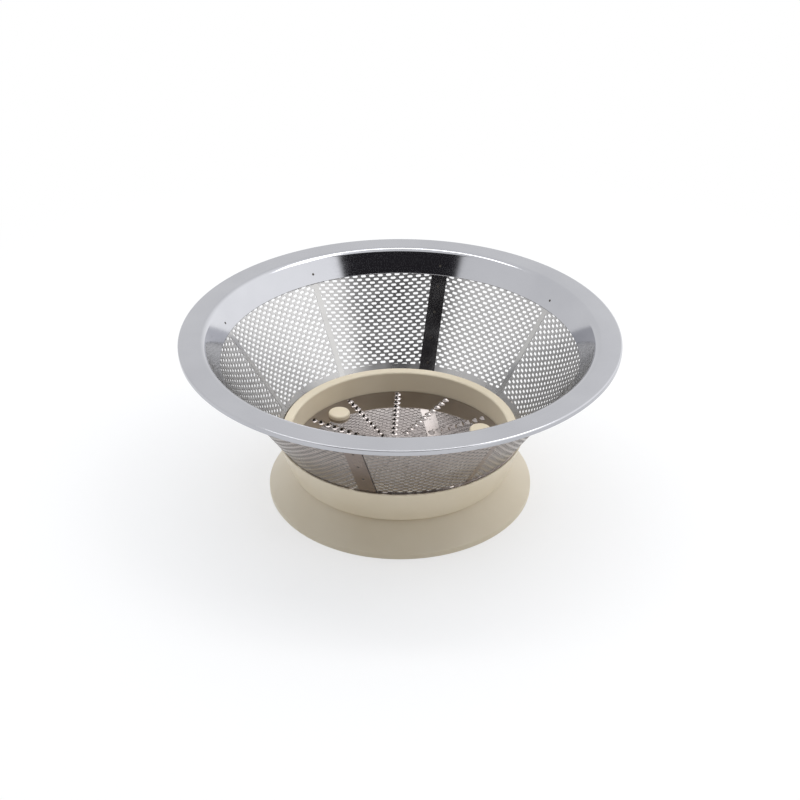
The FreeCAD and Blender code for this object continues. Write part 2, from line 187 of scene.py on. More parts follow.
# Finishes: two tones, and the roughness that goes from one to the other
RIM_TONES = (0.455, 0.46, 0.49), (0.495, 0.50, 0.53)
RIM_ROUGHNESS = (0.05, 0.16)
SLOTTED_TONES = (0.435, 0.43, 0.43), (0.49, 0.485, 0.485)
SLOTTED_ROUGHNESS = (0.24, 0.34)
PLAIN_TONES = (0.45, 0.445, 0.44), (0.49, 0.485, 0.48)
PLAIN_ROUGHNESS = (0.1, 0.17)
# Outer faces of the screen: darker and browner than the inner faces, a painted reflection of the
# shaded cream foot and floor below them
OUTER_PAINTED_SHADE_TONES = (0.315, 0.275, 0.257), (0.37, 0.332, 0.315)
# Outer faces of the plain strips and borders: darker and browner still, a painted reflection of the
# shaded cream foot
SEAM_PAINTED_SHADE_TONES = (0.205, 0.16, 0.142), (0.245, 0.2, 0.18)
OUTER_ROUGHNESS = (0.2, 0.3)
CUT_TONES = (0.16, 0.15, 0.145), (0.22, 0.21, 0.2)
CUT_ROUGHNESS = (0.45, 0.55)
WELD_TONES = (0.05, 0.045, 0.04), (0.1, 0.09, 0.08)
WELD_ROUGHNESS = (0.3, 0.4)
# Disc steel: darker and warmer than the other steel, painted shade for a darker surround and a
# painted warm cast on the collar's reflection
DISC_PAINTED_SHADE_TONES = (0.35, 0.313, 0.30), (0.405, 0.375, 0.365)
DISC_ROUGHNESS = (0.04, 0.18)
CREAM_TONES = (0.745, 0.64, 0.465), (0.785, 0.685, 0.515)
CREAM_ROUGHNESS = (0.3, 0.4)
CREAM_SPECULAR = 0.45
BUMP_DEPTH = 0.01
STEEL_BUMP = 0.1
CREAM_BUMP = 0.12

# Patterns of the finishes, as scales per metre where no other unit is given
RIM_PATCHES = 45.0
SCREEN_PATCHES = 120.0
WELD_PATCHES = 900.0
DISC_PATCHES = 70.0
CREAM_PATCHES = 50.0
CREAM_GRAIN = 1500.0
RIM_LINES = 2200.0
LINE_RUN = 3.0  # noise cells along one radian of a turned line
NOISE_DETAIL = 3.0
GRAIN_DETAIL = 2.0
SCRATCH_DETAIL = 1.0
PATCH_RANGE = (0.3, 0.7)  # part of the noise that a patch spans
SCRATCH_DENSITY = 900.0
SCRATCH_RANGE = (0.68, 0.8)  # part of the noise that is a scratch
SCRATCH_TURNS = (0.35, 1.9)  # radians
SCRATCH_STRETCH = (1.0, 0.02, 1.0)

# Stage, light and camera, in metres and watts
CAMERA_PLACE = Vector((0, -0.4477, 0.3060))
CAMERA_AIM = Vector((0, 0, 0.03615))
CAMERA_LENS = 63.0
CAMERA_SENSOR = 36.0
CAMERA_NEAR = 0.01
FLOOR_RADIUS = 3.0
FLOOR_SIDES = 96
FLOOR_COLOUR = (0.97, 0.95, 0.92, 1)
FLOOR_GLOW = 0.6  # share of plain white in the floor at the object
SHADOW_REACH = (0.1, 0.32)  # the floor goes over to plain white between these
WHITE = (1, 1, 1)
ROOM_LEFT = (0.84, 0.90, 1.0)
ROOM_RIGHT = (0.95, 1.0, 1.08)
RIGHT_SIDE = (0.1, 0.6)  # headings between which the room grows brighter to the right
BRIGHT_SIDE = (1.45, 1.45, 1.45)  # what polished steel shows of the right side
ROOM_DARK = (0.024, 0.022, 0.025)
DIM_SIDE = math.radians(34)  # half width of the part behind the camera that gives no light
DIM_EDGE = math.radians(2)
CARD_WIDTH = (0.5, 0.54)  # dark card that polished steel shows: parts of a heading, soft at the edge
CARD_BOTTOM = (0.46, 0.51)
CARD_TOP = (0.74, 0.78)
LAMPS = (  # name, place, width, depth, power, and whether polished steel shows it
    ("top_lamp", (0.1, 0.25, 0.9), 0.8, 0.8, 0.9, False),
    ("sky_lamp", (0.1, 0.25, 0.9), 0.8, 0.8, 1.2, True),
    ("strip_lamp", (0.0, 0.16, 0.8), 0.9, 0.12, 1.35, True),
    ("side_lamp", (0.47, -0.03, 0.8), 0.36, 0.36, 1.1, True),
)


def cone_radius(height, outward=0.0):
    """Radius of the screen cone at a height, moved outward square to the sheet."""
    return (height - APEX_HEIGHT) * math.tan(CONE_ANGLE) + outward / math.cos(CONE_ANGLE)


def slant_at(height):
    """Distance from the cone's apex, along the sheet."""
    return (height - APEX_HEIGHT) / math.cos(CONE_ANGLE)


def cone_outward(around):
    """Direction square to the cone and away from its axis, at an azimuth in radians."""
    level = math.cos(CONE_ANGLE)
    return Vector((level * math.cos(around), level * math.sin(around), -math.sin(CONE_ANGLE)))


def deselect():
    bpy.ops.object.select_all(action="DESELECT")


def named(piece, name):
    piece.name = name
    piece.data.name = name
    return piece


def begin_edit(piece):
    bpy.context.view_layer.objects.active = piece
    bpy.ops.object.mode_set(mode="EDIT")
    bpy.ops.mesh.select_all(action="SELECT")


def end_edit():
    bpy.ops.object.mode_set(mode="OBJECT")


def move_points(piece, x, y, z):
    """Moves all points of a piece, which stays at the origin."""
    begin_edit(piece)
    bpy.ops.transform.translate(value=(x * MM, y * MM, z * MM))
    end_edit()


def pick_points(piece, wanted):
    """Selects the points of the mesh in edit mode whose place, in millimetres, is wanted."""
    mesh = bmesh.from_edit_mesh(piece.data)
    bpy.ops.mesh.select_all(action="DESELECT")
    for point in mesh.verts:
        if wanted(point.co / MM):
            point.select = True
    mesh.select_flush(True)
    bmesh.update_edit_mesh(piece.data)


def merge_and_face_out(piece):
    begin_edit(piece)
    bpy.ops.mesh.remove_doubles(threshold=MERGE * MM)
    bpy.ops.mesh.select_all(action="SELECT")
    bpy.ops.mesh.normals_make_consistent(inside=False)
    end_edit()


def apply_modifier(piece, kind, **settings):
    bpy.context.view_layer.objects.active = piece
    modifier = piece.modifiers.new(kind.lower(), kind)
    for key, setting in settings.items():
        setattr(modifier, key, setting)
    bpy.ops.object.modifier_apply(modifier=modifier.name)


def repeat(piece, count, x, y):
    """Row of a piece, one step after another along X and Y."""
    apply_modifier(
        piece,
        "ARRAY",
        count=count,
        use_relative_offset=False,
        use_constant_offset=True,
        constant_offset_displace=(x * MM, y * MM, 0),
    )


def thicken(piece, thickness):
    """Gives a sheet its thickness, outward."""
    apply_modifier(piece, "SOLIDIFY", thickness=thickness * MM, offset=1)


def cut_or_add(piece, tool, operation):
    """Boolean of a piece with a tool, which is used up."""
    apply_modifier(piece, "BOOLEAN", operation=operation, solver="EXACT", object=tool)
    bpy.data.objects.remove(tool, do_unlink=True)


def smooth(piece):
    deselect()
    piece.select_set(True)
    bpy.context.view_layer.objects.active = piece
    bpy.ops.object.shade_smooth_by_angle(angle=SMOOTH_ANGLE)
    apply_modifier(piece, "WEIGHTED_NORMAL", keep_sharp=True)


def join(pieces, name):
    """One piece out of several, with its place in its mesh."""
    deselect()
    for piece in pieces:
        piece.select_set(True)
    bpy.context.view_layer.objects.active = pieces[0]
    if len(pieces) > 1:
        bpy.ops.object.join()
    bpy.ops.object.transform_apply(location=True, rotation=True, scale=True)
    return named(bpy.context.object, name)


def copy_of(piece):
    deselect()
    piece.select_set(True)
    bpy.context.view_layer.objects.active = piece
    bpy.ops.object.duplicate()
    return bpy.context.object


def turned_copies(piece, count, azimuth=0.0):
    """Copies of a piece spread evenly round the axis. The piece itself is the first."""
    copies = [piece] + [copy_of(piece) for _ in range(count - 1)]
    for k, item in enumerate(copies):
        item.rotation_euler.z = math.radians(azimuth + 360 * k / count)
    return copies


def rounded(corners, closed):
    """Profile points in radius and height, with an arc at each corner that gives a round."""
    points = []
    for k, corner in enumerate(corners):
        here = Vector(corner[:2])
        if len(corner) == 2:
            points.append(here)
            continue
        into = (Vector(corners[k - 1][:2]) - here).normalized()
        out = (Vector(corners[(k + 1) % len(corners)][:2]) - here).normalized()
        half = into.angle(out) / 2
        middle = here + (into + out).normalized() * corner[2] / math.sin(half)
        reach = corner[2] / math.tan(half)
        first = here + into * reach - middle
        last = here + out * reach - middle
        cuts = max(LEAST_FACETS, round((math.pi - 2 * half) / FACET_ANGLE))
        points += [middle + first.slerp(last, cut / cuts) * corner[2] for cut in range(cuts + 1)]
    return points + points[:1] if closed else points


def spun(name, corners, closed=True, steps=ROUND_STEPS):
    """Ring or round piece: a profile drawn by extruding a point, then spun about Z."""
    points = rounded(corners, closed)
    deselect()
    bpy.ops.mesh.primitive_plane_add(size=MM)
    piece = named(bpy.context.object, name)
    begin_edit(piece)
    bpy.ops.mesh.merge(type="CENTER")
    bpy.ops.transform.translate(value=(points[0].x * MM, 0, points[0].y * MM))
    for start, end in zip(points, points[1:]):
        step = (end - start) * MM
        bpy.ops.mesh.extrude_vertices_move(TRANSFORM_OT_translate={"value": (step.x, 0, step.y)})
    bpy.ops.mesh.select_all(action="SELECT")
    bpy.ops.mesh.spin(steps=steps, angle=math.tau, center=(0, 0, 0), axis=(0, 0, 1))
    end_edit()
    merge_and_face_out(piece)
    return piece


def make_rim():
    """Pressed ring: band inside the screen, rolled bend, flat flange, turned-down lip."""
    inner = -FIT_GAP - RIM_SHEET
    underside = RIM_TOP - RIM_SHEET
    lip_inside = RIM_RADIUS - RIM_SHEET
    lip_bottom = RIM_TOP - LIP_DEPTH
    return spun(
        "rim_ring_steel",
        [
            (cone_radius(BAND_BOTTOM, inner), BAND_BOTTOM, FINE_ROUND),
            (cone_radius(RIM_TOP, inner), RIM_TOP, FLANGE_BEND),
            (RIM_RADIUS, RIM_TOP, LIP_BEND),
            (RIM_RADIUS, lip_bottom, FINE_ROUND),
            (lip_inside, lip_bottom, FINE_ROUND),
            (lip_inside, underside, LIP_BEND - RIM_SHEET),
            (cone_radius(underside, -FIT_GAP), underside, FLANGE_BEND - RIM_SHEET),
            (cone_radius(BAND_BOTTOM, -FIT_GAP), BAND_BOTTOM, FINE_ROUND),
        ],
    )


def rolled(point, azimuth, lift):
    """Place on the cone of a point of the flat sheet, whose Y is its distance from the apex."""
    slant = math.hypot(point.x, point.y) / MM
    around = math.radians(azimuth) + math.atan2(point.x, point.y) / math.sin(CONE_ANGLE)
    radius = slant * math.sin(CONE_ANGLE) + lift * math.cos(CONE_ANGLE)
    height = APEX_HEIGHT + slant * math.cos(CONE_ANGLE) - lift * math.sin(CONE_ANGLE)
    return Vector((radius * math.cos(around), radius * math.sin(around), height)) * MM


def roll_up(piece, azimuth, lift):
    for point in piece.data.vertices:
        point.co = rolled(point.co, azimuth, lift)


def make_slot_tile():
    """One slot with half of the steel round it, and its neighbour in the next row."""
    deselect()
    bpy.ops.mesh.primitive_grid_add(x_subdivisions=4, y_subdivisions=2, size=1)
    tile = named(bpy.context.object, "slot_tile")
    begin_edit(tile)
    bpy.ops.transform.resize(value=(SLOT_PITCH * MM, ROW_PITCH * MM, 1))
    bridge = (ROW_PITCH - SLOT_HEIGHT) / 2
    bpy.ops.mesh.inset(thickness=bridge * MM, use_even_offset=True)
    bpy.ops.mesh.delete(type="FACE")
    tile_x = SLOT_PITCH / 2 - MERGE
    tile_y = ROW_PITCH / 2 - MERGE
    pick_points(tile, lambda place: abs(place.x) < tile_x and abs(place.y) < tile_y)
    bpy.ops.transform.resize(value=(SLOT_LENGTH / (SLOT_PITCH - 2 * bridge), 1, 1))
    corner_x = SLOT_LENGTH / 2 - MERGE
    corner_y = SLOT_HEIGHT / 2 - MERGE
    pick_points(
        tile,
        lambda place: corner_x < abs(place.x) < tile_x and corner_y < abs(place.y) < tile_y,
    )
    end_round = SLOT_HEIGHT / 2 * (1 - math.sqrt(0.5))
    bpy.ops.transform.resize(
        value=(1 - end_round / (SLOT_LENGTH / 2), 1 - end_round / (SLOT_HEIGHT / 2), 1)
    )
    bpy.ops.mesh.select_all(action="SELECT")
    shift = (SLOT_PITCH / 2 * MM, ROW_PITCH * MM, 0)
    bpy.ops.mesh.duplicate_move(TRANSFORM_OT_translate={"value": shift})
    end_edit()
    return tile


def make_flat_sheet():
    """Flat slotted sheet, large enough for one panel, its Y the distance from the cone's apex."""
    half_angle = math.pi / PANEL_COUNT * math.sin(CONE_ANGLE)
    low = slant_at(SCREEN_BOTTOM) + ROW_PITCH
    high = slant_at(BAND_BOTTOM) + ROW_PITCH
    columns = 2 * math.ceil(high * math.tan(half_angle) / SLOT_PITCH) + 2
    row_pairs = math.ceil((high - low) / (2 * ROW_PITCH))
    sheet = make_slot_tile()
    repeat(sheet, columns, SLOT_PITCH, 0)
    repeat(sheet, row_pairs, 0, 2 * ROW_PITCH)
    begin_edit(sheet)
    bpy.ops.mesh.remove_doubles(threshold=MERGE * MM)
    end_edit()
    move_points(sheet, -(columns - 1) / 2 * SLOT_PITCH, low, 0)
    return sheet


def make_panel(flat_sheet, middle, low_margin, high_margin, lift):
    """One of the panels between two plain strips, cut from the flat sheet and rolled up."""
    half_angle = math.pi / PANEL_COUNT * math.sin(CONE_ANGLE)
    panel = copy_of(flat_sheet)
    begin_edit(panel)
    for side, margin in ((-1, low_margin), (1, high_margin)):
        outward = Vector((side * math.cos(half_angle), -math.sin(half_angle), 0))
        bpy.ops.mesh.select_all(action="SELECT")
        bpy.ops.mesh.bisect(
            plane_co=outward * -margin * MM,
            plane_no=outward,
            clear_outer=True,
            threshold=MERGE * MM / 10,
        )
    end_edit()
    roll_up(panel, middle, lift)
    return panel


def make_strip(azimuth, low_side, high_side, lift):
    """Plain strip along the cone, reaching to its two sides by so many millimetres."""
    deselect()
    bpy.ops.mesh.primitive_grid_add(x_subdivisions=4, y_subdivisions=6, size=1)
    strip = bpy.context.object
    begin_edit(strip)
    length = slant_at(SCREEN_TOP) - slant_at(SCREEN_BOTTOM)
    bpy.ops.transform.resize(value=((low_side + high_side) * MM, length * MM, 1))
    end_edit()
    move_points(strip, (high_side - low_side) / 2, slant_at(SCREEN_BOTTOM) + length / 2, 0)
    roll_up(strip, azimuth, lift)
    return strip


def make_border(start, sweep, low, high, lift):
    """Plain border of a screen half, between two distances from the cone's apex."""
    deselect()
    bpy.ops.mesh.primitive_grid_add(x_subdivisions=ROUND_STEPS // 2, y_subdivisions=2, size=1)
    border = bpy.context.object
    for point in border.data.vertices:
        slant = (low + (point.co.y + 0.5) * (high - low)) * MM
        point.co = rolled(Vector((0, slant, 0)), start + (point.co.x + 0.5) * sweep, lift)
    return border


def finish_faces(piece, inside, outside, cut):
    """Finishes for the inner face, the outer face and the cut edges of a rolled sheet."""
    for finish in (inside, outside, cut):
        piece.data.materials.append(finish)
    for face in piece.data.polygons:
        outward = face.normal.dot(cone_outward(math.atan2(face.center.y, face.center.x)))
        if outward < -FACE_SQUARE:
            face.material_index = 0
        elif outward > FACE_SQUARE:
            face.material_index = 1
        else:
            face.material_index = 2


def make_screen_half(name, flat_sheet, start, lift, finishes):
    """Half cone from a seam azimuth on: four slotted panels, plain strips, lapped edges, hem."""
    # The finishes of the outer faces are darker and browner: painted reflection of the shaded cream
    # foot and floor that these faces mirror
    slotted_steel, plain_steel, outer_steel_painted_shade, seam_steel_painted_shade, cut_steel = finishes
    step = 360 / PANEL_COUNT
    panels = PANEL_COUNT // 2
    thin = STRIP_WIDTH / 2
    lap = SEAM_LAP / 2
    slotted = []
    for k in range(panels):
        low = lap if k == 0 else thin
        high = lap if k == panels - 1 else thin
        slotted.append(make_panel(flat_sheet, start + (k + 0.5) * step, low, high, lift))
    slotted = join(slotted, name)
    thicken(slotted, MESH_SHEET)
    finish_faces(slotted, slotted_steel, outer_steel_painted_shade, cut_steel)
    inward = lift - STRIP_PROUD
    wide = thin + STRIP_OVERLAP
    plain = [make_strip(start, lap, lap + STRIP_OVERLAP, inward)]
    plain += [make_strip(start + k * step, wide, wide, inward) for k in range(1, panels)]
    plain.append(make_strip(start + panels * step, lap + STRIP_OVERLAP, lap, inward))
    top = slant_at(SCREEN_TOP)
    plain.append(make_border(start, panels * step, top - BORDER_WIDTH, top, inward - STRIP_PROUD))
    plain = join(plain, f"{name}_strips")
    thicken(plain, MESH_SHEET + 2 * STRIP_PROUD)
    # The strips' outer faces take the darkest, brownest tones: a painted reflection of the shaded
    # cream foot
    finish_faces(plain, plain_steel, seam_steel_painted_shade, cut_steel)
    margin = math.degrees(lap / cone_radius(LIP_TOP))
    sweep = panels * step - 2 * margin
    bottom = slant_at(SCREEN_BOTTOM)
    hem = make_border(start + margin, sweep, bottom, slant_at(HEM_TOP), lift - STRIP_PROUD / 2)
    thicken(hem, 2 * MESH_SHEET + FIT_GAP + STRIP_PROUD - lift)
    finish_faces(hem, slotted_steel, outer_steel_painted_shade, outer_steel_painted_shade)
    return join([slotted, plain, hem], name)


def make_base_ring():
    """Moulded ring: collar, groove for the screen, outer lip, tapered wall, ledge under the disc."""
    groove_outside = 2 * MESH_SHEET + 2 * FIT_GAP
    lip_inside = cone_radius(LIP_TOP, groove_outside)
    return spun(
        "base_ring_moulding",
        [
            (COLLAR_FOOT_RADIUS, DISC_UNDERSIDE),
            (COLLAR_RADIUS, COLLAR_TOP, COLLAR_ROUND),
            (cone_radius(COLLAR_TOP, -FIT_GAP), COLLAR_TOP, GROOVE_ROUND),
            (cone_radius(SCREEN_BOTTOM, -FIT_GAP), SCREEN_BOTTOM),
            (cone_radius(SCREEN_BOTTOM, groove_outside), SCREEN_BOTTOM),
            (lip_inside, LIP_TOP, FINE_ROUND),
            (lip_inside + LIP_WALL, LIP_TOP, EDGE_ROUND),
            (RING_BOTTOM_RADIUS, RING_BOTTOM, SOFT_ROUND),
            (RING_BORE, RING_BOTTOM, EDGE_ROUND),
            (RING_BORE, DISC_UNDERSIDE),
        ],
    )


def skirt_inside(height):
    """Inner radius of the foot's skirt at a height."""
    slope = math.atan((FOOT_RADIUS - SKIRT_TOP_RADIUS) / (SKIRT_TOP - FOOT_EDGE))
    return SKIRT_TOP_RADIUS + (SKIRT_TOP - height) * math.tan(slope) - SKIRT_WALL / math.cos(slope)


def make_block(inner, outer, width, bottom, top):
    """Block along +X, from one radius to another and from one height to another."""
    deselect()
    bpy.ops.mesh.primitive_cube_add(size=1, location=(0, 0, 0))
    block = bpy.context.object
    begin_edit(block)
    bpy.ops.transform.resize(value=((outer - inner) * MM, width * MM, (top - bottom) * MM))
    end_edit()
    move_points(block, (outer + inner) / 2, 0, (top + bottom) / 2)
    return block


def make_ribs():
    """Ribs under the plate, from the hub out to the skirt and along its slope."""
    bottom = PLATE_UNDERSIDE - RIB_HEIGHT
    top = PLATE_MIDDLE - PLATE_BITE
    inner = (HUB_RADIUS + SOCKET_RADIUS + KEYWAY_DEPTH) / 2
    outer = skirt_inside(bottom) + RIB_BITE
    rib = make_block(inner, outer, RIB_THICKNESS, bottom, top)
    begin_edit(rib)
    half_out = (inner + outer) / 2
    half_up = (bottom + top) / 2
    pick_points(rib, lambda place: place.x > half_out and place.z > half_up)
    bpy.ops.transform.translate(value=((skirt_inside(top) + RIB_BITE - outer) * MM, 0, 0))
    end_edit()
    return join(turned_copies(rib, RIB_COUNT), "ribs")


def make_stakes():
    """Bosses under the disc, pins through it and the round heads formed over it."""
    foot = PLATE_MIDDLE + PLATE_BITE
    stake = spun(
        "stake",
        [
            (0, STAKE_HEAD_TOP),
            (STAKE_HEAD_RADIUS, STAKE_HEAD_TOP, STAKE_HEAD_ROUND),
            (STAKE_HEAD_RADIUS, DISC_TOP),
            (STAKE_PIN_RADIUS, DISC_TOP),
            (STAKE_PIN_RADIUS, DISC_UNDERSIDE),
            (STAKE_BOSS_RADIUS, DISC_UNDERSIDE),
            (STAKE_BOSS_RADIUS, foot),
            (0, foot),
        ],
        closed=False,
        steps=STAKE_STEPS,
    )
    move_points(stake, STAKE_CIRCLE, 0, 0)
    return join(turned_copies(stake, STAKE_COUNT, STAKE_AZIMUTH), "stakes")


def make_keyways():
    """Blocks that cut the keyways of the drive socket."""
    block = make_block(
        SOCKET_RADIUS / 2,
        SOCKET_RADIUS + KEYWAY_DEPTH,
        KEYWAY_WIDTH,
        HUB_BOTTOM - KEYWAY_OVERRUN,
        SOCKET_TOP - KEYWAY_END,
    )
    return join(turned_copies(block, KEYWAY_COUNT), "keyways")


def make_drive_foot():
    """Moulded foot: flared skirt, plate, hub with the drive socket, ribs and stakes."""
    foot = spun(
        "drive_foot_moulding",
        [
            (0, HUB_TOP),
            (HUB_RADIUS, HUB_TOP, SOFT_ROUND),
            (HUB_RADIUS, PLATE_TOP, FILLET),
            (UPSTAND_BORE, PLATE_TOP, FILLET),
            (UPSTAND_BORE, DISC_UNDERSIDE, FINE_ROUND),
            (UPSTAND_RADIUS, DISC_UNDERSIDE, FINE_ROUND),
            (UPSTAND_RADIUS, SKIRT_TOP),
            (SKIRT_TOP_RADIUS, SKIRT_TOP, EDGE_ROUND),
            (FOOT_RADIUS, FOOT_EDGE, FILLET),
            (FOOT_RADIUS, 0, EDGE_ROUND),
            (skirt_inside(FOOT_EDGE), 0, EDGE_ROUND),
            (skirt_inside(FOOT_EDGE), FOOT_EDGE, SOFT_ROUND),
            (skirt_inside(PLATE_UNDERSIDE), PLATE_UNDERSIDE, FILLET),
            (HUB_RADIUS, PLATE_UNDERSIDE, FILLET),
            (HUB_RADIUS, HUB_BOTTOM, HUB_ROUND),
            (SOCKET_RADIUS, HUB_BOTTOM, HUB_ROUND),
            (SOCKET_RADIUS, SOCKET_TOP),
            (0, SOCKET_TOP),
        ],
        closed=False,
    )
    cut_or_add(foot, make_keyways(), "DIFFERENCE")
    cut_or_add(foot, make_ribs(), "UNION")
    cut_or_add(foot, make_stakes(), "UNION")
    return foot


def tooth_rows(piece, height):
    """Slanted rows of a tooth, or of the pin that punches its hole, at a height."""
    move_points(piece, TOOTH_REACH, TOOTH_OFFSET, height)
    repeat(piece, TOOTH_COUNT, -TOOTH_PITCH, 0)
    return turned_copies(piece, TOOTH_ROWS, TOOTH_AZIMUTH)


def make_teeth():
    """Rows of teeth drawn up out of the sheet: scoops that are high behind and open to one side."""
    profile = [(radius, DISC_TOP + rise) for radius, rise in TOOTH_PROFILE]
    tooth = spun("tooth", profile, steps=TOOTH_SIDES)
    for point in tooth.data.vertices:
        rise = point.co.z / MM - DISC_TOP
        if rise > 0 and point.co.y < -TOOTH_FOOT / 2 * MM:
            point.co.y *= TOOTH_BACK
        if rise > TOOTH_SHAPED:
            facing = point.co.y / math.hypot(point.co.x, point.co.y)
            rise *= TOOTH_LEAN_MIDDLE - TOOTH_LEAN * facing
            point.co.x *= TOOTH_SLIM
            point.co.y += TOOTH_FORWARD * rise ** TOOTH_CURL * MM
            point.co.z = (DISC_TOP + rise) * MM
    return join(tooth_rows(tooth, 0), "teeth")


def make_pin(sides, radius):
    """Pin that punches a hole in the disc."""
    deselect()
    bpy.ops.mesh.primitive_cylinder_add(
        vertices=sides, radius=radius * MM, depth=HOLE_PIN_LENGTH * MM, location=(0, 0, 0)
    )
    return bpy.context.object


def make_hole_pins():
    """Pins where the teeth and the stakes of the disc are."""
    pins = tooth_rows(make_pin(TOOTH_SIDES, HOLE_PIN_RADIUS), DISC_TOP)
    stake_pin = make_pin(STAKE_STEPS, STAKE_PIN_RADIUS + STAKE_HOLE_GAP)
    move_points(stake_pin, STAKE_CIRCLE, 0, DISC_TOP)
    return join(pins + turned_copies(stake_pin, STAKE_COUNT, STAKE_AZIMUTH), "hole_pins")


def make_grater_disc():
    """Polished floor of the basket with its slanted rows of teeth."""
    disc = spun(
        "grater_disc_steel",
        [
            (0, DISC_TOP),
            (DISC_RADIUS - DISC_RIM, DISC_TOP),
            (DISC_RADIUS, DISC_TOP, DISC_ROUND),
            (DISC_RADIUS, DISC_UNDERSIDE, DISC_ROUND),
            (DISC_RADIUS - DISC_RIM, DISC_UNDERSIDE),
            (0, DISC_UNDERSIDE),
        ],
        closed=False,
    )
    cut_or_add(disc, make_hole_pins(), "DIFFERENCE")
    return join([disc, make_teeth()], "grater_disc_steel")


def make_weld_spots():
    """Shallow dents of the spot welds, on the seams and along the rim's band."""
    deselect()
    bpy.ops.mesh.primitive_cylinder_add(
        vertices=WELD_SIDES, radius=WELD_RADIUS * MM, depth=WELD_DEPTH * MM
    )
    spot = bpy.context.object
    begin_edit(spot)
    bpy.ops.transform.translate(value=(0, 0, -WELD_SINK * MM))
    pick_points(spot, lambda place: place.z > -WELD_SINK)
    for rise in (WELD_RISE, -WELD_DENT):
        bpy.ops.mesh.inset(thickness=WELD_RADIUS / 4 * MM)
        bpy.ops.transform.translate(value=(0, 0, rise * MM))
    end_edit()
    places = []
    for azimuth in (SEAM_AZIMUTH, SEAM_AZIMUTH + 180):
        for height in SEAM_WELD_HEIGHTS:
            places.append((azimuth, height, -STRIP_PROUD, -1))
            places.append((azimuth, height, 2 * MESH_SHEET + FIT_GAP + STRIP_PROUD, 1))
    for k in range(PANEL_COUNT):
        azimuth = SEAM_AZIMUTH + 360 / PANEL_COUNT * k
        places.append((azimuth, BAND_WELD_HEIGHT, -FIT_GAP - RIM_SHEET, -1))
    spots = [spot] + [copy_of(spot) for _ in places[1:]]
    for item, (azimuth, height, lift, facing) in zip(spots, places):
        outward = cone_outward(math.radians(azimuth)) * facing
        turn = outward.to_track_quat("Z", "Y").to_matrix().to_4x4()
        place = rolled(Vector((0, slant_at(height) * MM, 0)), azimuth, lift)
        item.matrix_world = Matrix.Translation(place) @ turn
    return join(spots, "weld_spots")


def new_group(name, inputs, outputs):
    """Empty node group with its input and output nodes."""
    group = bpy.data.node_groups.new(name, "ShaderNodeTree")
    for label, number in inputs.items():
        socket = group.interface.new_socket(label, in_out="INPUT", socket_type="NodeSocketFloat")
        socket.default_value = number
    for label in outputs:
        group.interface.new_socket(label, in_out="OUTPUT", socket_type="NodeSocketFloat")
    return group, group.nodes.new("NodeGroupInput"), group.nodes.new("NodeGroupOutput")


def add_node(tree, kind, operation=None, **values):
    """Node with values or links on its inputs, by name or by number written as _0, _1 and so on."""
    node = tree.nodes.new(kind)
    if operation:
        node.operation = operation
    for key, given in values.items():
        socket = node.inputs[int(key[1:])] if key[0] == "_" else node.inputs[key.replace("_", " ")]
        if isinstance(given, bpy.types.NodeSocket):
            tree.links.new(given, socket)
        else:
            socket.default_value = given
    return node


def add_math(tree, operation, first, second=None):
    """Result of a math node on one or two values or links."""
    values = {"_0": first}
    if second is not None:
        values["_1"] = second
    return add_node(tree, "ShaderNodeMath", operation, **values).outputs[0]


def map_range(tree, source, **ends):
    """Value carried from one range over to another, 0 to 1 where none is given."""
    return add_node(tree, "ShaderNodeMapRange", Value=source, **ends).outputs["Result"]


def object_place(tree):
    return add_node(tree, "ShaderNodeTexCoord").outputs["Object"]


def make_turned_lines():
    """Fine lines that run round the axis, as left by spinning and polishing."""
    inputs = {"Fineness": RIM_LINES, "Run": LINE_RUN}
    group, enter, leave = new_group("turned_lines", inputs, ["Lines"])
    place = object_place(group)
    flat = add_node(group, "ShaderNodeVectorMath", "MULTIPLY", _0=place, _1=(1, 1, 0)).outputs[0]
    radius = add_node(group, "ShaderNodeVectorMath", "LENGTH", _0=flat).outputs["Value"]
    heading = add_node(group, "ShaderNodeVectorMath", "NORMALIZE", _0=flat).outputs[0]
    around = add_node(
        group, "ShaderNodeVectorMath", "SCALE", _0=heading, Scale=enter.outputs["Run"]
    ).outputs[0]
    height = add_node(group, "ShaderNodeSeparateXYZ", _0=place).outputs["Z"]
    across = add_math(group, "ADD", radius, height)
    fine = add_math(group, "MULTIPLY", across, enter.outputs["Fineness"])
    line = add_node(group, "ShaderNodeCombineXYZ", Z=fine).outputs[0]
    along = add_node(group, "ShaderNodeVectorMath", "ADD", _0=around, _1=line).outputs[0]
    noise = add_node(group, "ShaderNodeTexNoise", Vector=along, Scale=1.0, Detail=NOISE_DETAIL)
    group.links.new(noise.outputs[0], leave.inputs["Lines"])
    return group


def make_soft_patches():
    """Slow uneven patches, as of handling, flow or polish."""
    inputs = {"Size": SCREEN_PATCHES, "Detail": NOISE_DETAIL}
    group, enter, leave = new_group("soft_patches", inputs, ["Patches"])
    noise = add_node(
        group,
        "ShaderNodeTexNoise",
        Vector=object_place(group),
        Scale=enter.outputs["Size"],
        Detail=enter.outputs["Detail"],
    )
    even = map_range(group, noise.outputs[0], From_Min=PATCH_RANGE[0], From_Max=PATCH_RANGE[1])
    group.links.new(even, leave.inputs["Patches"])
    return group


